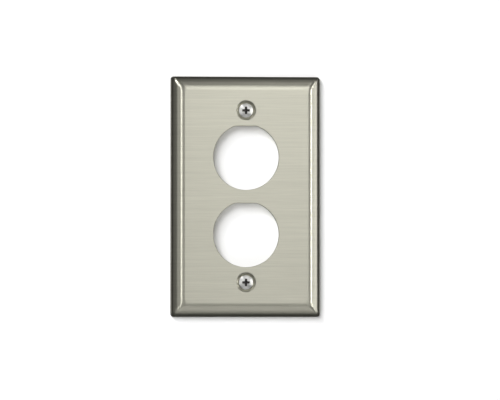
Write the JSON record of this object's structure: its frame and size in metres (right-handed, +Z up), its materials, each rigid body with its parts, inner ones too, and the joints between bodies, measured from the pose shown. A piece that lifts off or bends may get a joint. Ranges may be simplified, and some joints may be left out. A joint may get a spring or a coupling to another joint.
{
  "type": "wall plate cover",
  "caption": "Flat upright steel wall plate with bevelled edges, round keyed ports one above the other, a rear gasket and countersunk cross-recess screws.",
  "frame": {"origin": "on the wall's surface, which the gasket's rear face touches, midway between the two screws", "axes": "+Z up along the plate's length, through both screws; +X across the plate, to the right as seen from the front; the front faces -Y and the screws point into the wall along +Y"},
  "size_m": [0.0728, 0.0234, 0.1168],
  "materials": {
    "plate_steel": "brushed across its width, satin",
    "gasket_foam": "closed-cell foam, matt, fine pores",
    "screw_steel": "turned and passivated, bright",
    "seal_rubber": "moulded rubber, satin",
    "retainer_fibre": "vulcanised fibre, matt"
  },
  "bodies": {
    "plate": {"face_plate": "plate_steel", "rear_gasket": "gasket_foam", "retainer_upper": "retainer_fibre", "retainer_lower": "retainer_fibre"},
    "upper_seal": {"seal_upper": "seal_rubber"},
    "upper_screw": {"screw_upper": "screw_steel"},
    "lower_seal": {"seal_lower": "seal_rubber"},
    "lower_screw": {"screw_lower": "screw_steel"}
  },
  "joints": [
    {"name": "upper_screw_advance", "type": "slide", "parent": "plate", "child": "upper_seal", "axis": [0, -1, 0], "range_m": [0, 0.01588]},
    {"name": "upper_screw_turn", "type": "hinge", "parent": "upper_seal", "child": "upper_screw", "pos_m": [0, -0.0047, 0.04167], "axis": [0, -1, 0], "range_deg": [0, 7200.1]},
    {"name": "lower_screw_advance", "type": "slide", "parent": "plate", "child": "lower_seal", "axis": [0, -1, 0], "range_m": [0, 0.01588]},
    {"name": "lower_screw_turn", "type": "hinge", "parent": "lower_seal", "child": "lower_screw", "pos_m": [0, -0.0047, -0.04167], "axis": [0, -1, 0], "range_deg": [0, 7200.1]}
  ],
  "couplings": [
    {"joint": "upper_screw_turn", "follows": "upper_screw_advance", "rad_per_m": 7915.8},
    {"joint": "lower_screw_turn", "follows": "lower_screw_advance", "rad_per_m": 7915.8}
  ]
}
